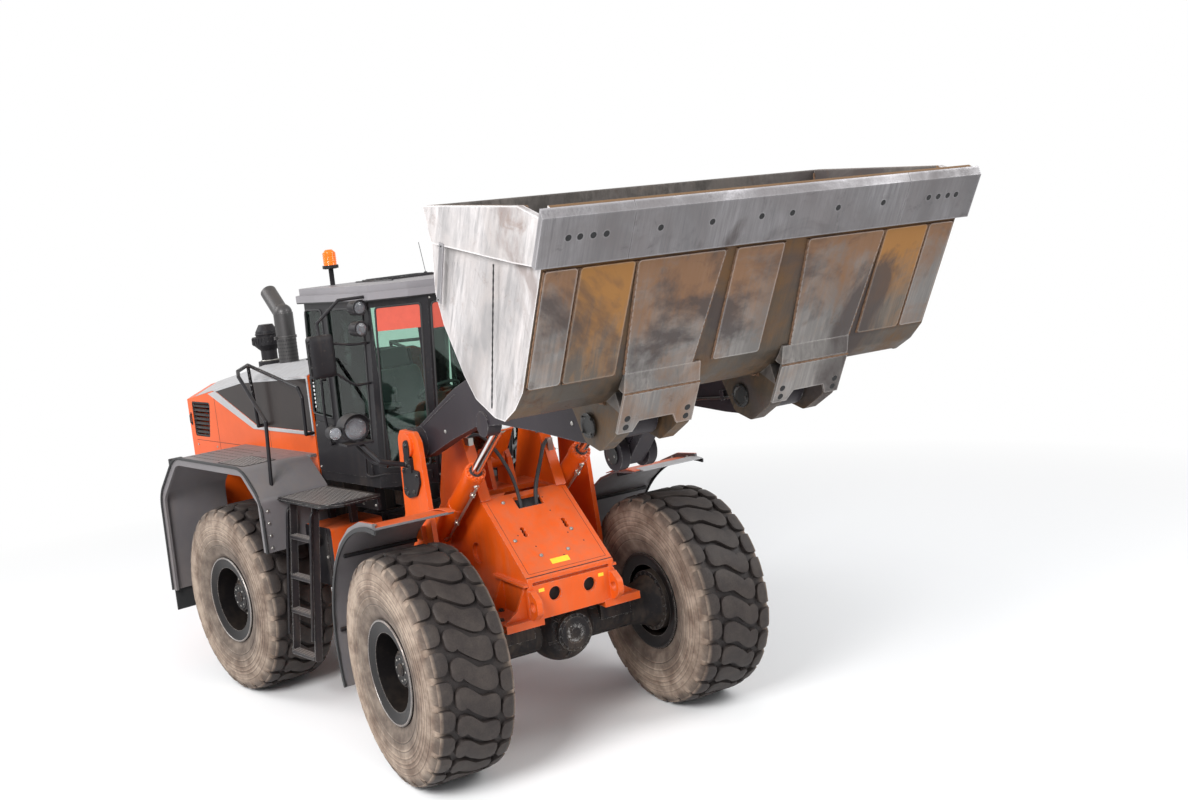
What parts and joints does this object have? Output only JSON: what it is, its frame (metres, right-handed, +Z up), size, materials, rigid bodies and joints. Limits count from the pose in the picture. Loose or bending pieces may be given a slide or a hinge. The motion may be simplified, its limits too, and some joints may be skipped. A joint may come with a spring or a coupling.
{
  "type": "articulated wheel loader",
  "caption": "Articulated wheel loader with a raised bucket on Z-bar lift arms, side cab, grey fenders and rear counterweight; steering, boom, bucket, door and wheels move.",
  "frame": {"origin": "bottom centre of the bounding box at rest, on the ground", "axes": "+X forward along the rear body, +Y to the machine's left, +Z up; the front body rests 9.84 degrees turned to the right"},
  "size_m": [8.8986, 3.8596, 4.2111],
  "materials": {
    "cast_axle": "matte",
    "charcoal_paint": "semi-gloss",
    "exhaust_steel": "heat stained",
    "grey_plastic": "matte",
    "lamp_housing": "gloss",
    "mirror_glass": "matte",
    "orange_paint": "gloss",
    "rim_paint": "worn",
    "rod_chrome": "polished",
    "seat_fabric": "woven",
    "tinted_glass": "clear",
    "tyre_rubber": "matte",
    "worn_steel": "worn"
  },
  "bodies": {
    "rear_chassis": {"rear_frame": "charcoal_paint", "counterweight": "orange_paint", "engine_block": "cast_axle", "hood": "orange_paint", "rear_grille": "charcoal_paint", "exhaust_stack": "exhaust_steel", "air_precleaner": "grey_plastic", "cab_frame": "charcoal_paint", "cab_roof": "charcoal_paint", "cab_glass": "tinted_glass", "operator_seat": "seat_fabric", "steering_console": "grey_plastic", "rear_fenders": "grey_plastic", "service_platforms": "charcoal_paint", "access_ladders": "charcoal_paint", "handrails": "charcoal_paint", "mirrors": "mirror_glass", "cab_lamps": "lamp_housing", "tail_lamps": "lamp_housing", "rear_axle": "cast_axle", "driveline": "cast_axle"},
    "front_chassis": {"front_frame": "orange_paint", "boom_towers": "orange_paint", "front_axle": "cast_axle", "front_fenders": "orange_paint", "headlamps": "lamp_housing"},
    "door": {"cab_door": "charcoal_paint", "door_glass": "tinted_glass"},
    "wheel_rear_left": {"tyre_rear_left": "tyre_rubber", "rim_rear_left": "rim_paint"},
    "wheel_rear_right": {"tyre_rear_right": "tyre_rubber", "rim_rear_right": "rim_paint"},
    "wheel_front_left": {"tyre_front_left": "tyre_rubber", "rim_front_left": "rim_paint"},
    "wheel_front_right": {"tyre_front_right": "tyre_rubber", "rim_front_right": "rim_paint"},
    "boom": {"lift_arms": "charcoal_paint"},
    "tilt_lever": {"bellcrank": "charcoal_paint"},
    "tilt_link": {"bucket_link": "charcoal_paint"},
    "shovel": {"bucket": "worn_steel", "cutting_edge": "worn_steel", "wear_plates": "worn_steel"},
    "lift_cylinders": {"lift_barrels": "orange_paint"},
    "lift_rams": {"lift_rods": "rod_chrome"},
    "tilt_cylinder": {"tilt_barrel": "orange_paint"},
    "tilt_ram": {"tilt_rod": "rod_chrome"},
    "steer_cylinder_left": {"steer_barrel_left": "charcoal_paint"},
    "steer_ram_left": {"steer_rod_left": "rod_chrome"},
    "steer_cylinder_right": {"steer_barrel_right": "charcoal_paint"},
    "steer_ram_right": {"steer_rod_right": "rod_chrome"}
  },
  "joints": [
    {"name": "steer", "type": "hinge", "parent": "rear_chassis", "child": "front_chassis", "pos_m": [-0.68933, 0.44277, 0.85], "axis": [0, 0, 1], "range_deg": [-27.16, 46.84]},
    {"name": "door_hinge", "type": "hinge", "parent": "rear_chassis", "child": "door", "pos_m": [-1.23533, 1.23177, 2.25], "axis": [0, 0, 1], "range_deg": [0, 90]},
    {"name": "boom_lift", "type": "hinge", "parent": "front_chassis", "child": "boom", "pos_m": [0.24669, 0.28042, 2.4], "axis": [-0.1709, -0.9853, 0], "range_deg": [-52.5, 34.2]},
    {"name": "bucket_tilt", "type": "hinge", "parent": "boom", "child": "shovel", "pos_m": [3.23212, -0.2374, 2.83], "axis": [0.1709, 0.9853, 0], "range_deg": [-30, 141]},
    {"name": "bellcrank_pivot", "type": "hinge", "parent": "boom", "child": "tilt_lever", "pos_m": [1.84152, 0.0038, 3.23572], "axis": [-0.1709, -0.9853, 0], "range_deg": [-10.42, 41.6]},
    {"name": "link_pivot", "type": "hinge", "parent": "shovel", "child": "tilt_link", "pos_m": [2.96319, -0.19075, 3.04328], "axis": [-0.1709, -0.9853, 0], "range_deg": [-23.6, 103.52]},
    {"name": "lift_barrel_pivot", "type": "hinge", "parent": "front_chassis", "child": "lift_cylinders", "pos_m": [-0.03904, 0.32998, 1.52], "axis": [-0.1709, -0.9853, 0], "range_deg": [-33.63, 22.61]},
    {"name": "lift_rod_slide", "type": "slide", "parent": "lift_cylinders", "child": "lift_rams", "axis": [0.7809, -0.1354, 0.6098], "range_m": [-0.5604, 0.3665]},
    {"name": "tilt_barrel_pivot", "type": "hinge", "parent": "front_chassis", "child": "tilt_cylinder", "pos_m": [0.19743, 0.28897, 2.15], "axis": [-0.1709, -0.9853, 0], "range_deg": [-49.43, 32.89]},
    {"name": "tilt_rod_slide", "type": "slide", "parent": "tilt_cylinder", "child": "tilt_ram", "axis": [0.5866, -0.1018, 0.8034], "range_m": [-0.4953, 0.1085]},
    {"name": "steer_barrel_pivot_left", "type": "hinge", "parent": "rear_chassis", "child": "steer_cylinder_left", "pos_m": [-1.48933, 0.87277, 0.98], "axis": [0, 0, 1], "range_deg": [-10.13, 16.74]},
    {"name": "steer_rod_slide_left", "type": "slide", "parent": "steer_cylinder_left", "child": "steer_ram_left", "axis": [0.9981, -0.0614, 0], "range_m": [-0.3642, 0.2128]},
    {"name": "steer_barrel_pivot_right", "type": "hinge", "parent": "rear_chassis", "child": "steer_cylinder_right", "pos_m": [-1.48933, 0.01277, 0.98], "axis": [0, 0, 1], "range_deg": [-10.48, 17.35]},
    {"name": "steer_rod_slide_right", "type": "slide", "parent": "steer_cylinder_right", "child": "steer_ram_right", "axis": [0.9983, -0.0583, 0], "range_m": [-0.198, 0.3386]},
    {"name": "wheel_rear_left_spin", "type": "hinge", "parent": "rear_chassis", "child": "wheel_rear_left", "pos_m": [-2.41433, 1.59277, 0.875], "axis": [0, 1, 0], "continuous": true},
    {"name": "wheel_rear_right_spin", "type": "hinge", "parent": "rear_chassis", "child": "wheel_rear_right", "pos_m": [-2.41433, -0.70723, 0.875], "axis": [0, 1, 0], "continuous": true},
    {"name": "wheel_front_left_spin", "type": "hinge", "parent": "front_chassis", "child": "wheel_front_left", "pos_m": [1.20682, 1.28106, 0.875], "axis": [0.1709, 0.9853, 0], "continuous": true},
    {"name": "wheel_front_right_spin", "type": "hinge", "parent": "front_chassis", "child": "wheel_front_right", "pos_m": [0.81376, -0.98511, 0.875], "axis": [0.1709, 0.9853, 0], "continuous": true}
  ],
  "couplings": [
    {"joint": "bellcrank_pivot", "follows": "bucket_tilt", "ratio": 0.28082},
    {"joint": "link_pivot", "follows": "bucket_tilt", "ratio": 0.72},
    {"joint": "lift_barrel_pivot", "follows": "boom_lift", "ratio": 0.6025},
    {"joint": "lift_rod_slide", "follows": "boom_lift", "m_per_rad": 0.60724},
    {"joint": "tilt_barrel_pivot", "follows": "boom_lift", "ratio": 0.90336},
    {"joint": "tilt_rod_slide", "follows": "bucket_tilt", "m_per_rad": -0.19965},
    {"joint": "steer_barrel_pivot_left", "follows": "steer", "ratio": 0.33606},
    {"joint": "steer_rod_slide_left", "follows": "steer", "m_per_rad": -0.44057},
    {"joint": "steer_barrel_pivot_right", "follows": "steer", "ratio": 0.34906},
    {"joint": "steer_rod_slide_right", "follows": "steer", "m_per_rad": 0.4093}
  ]
}
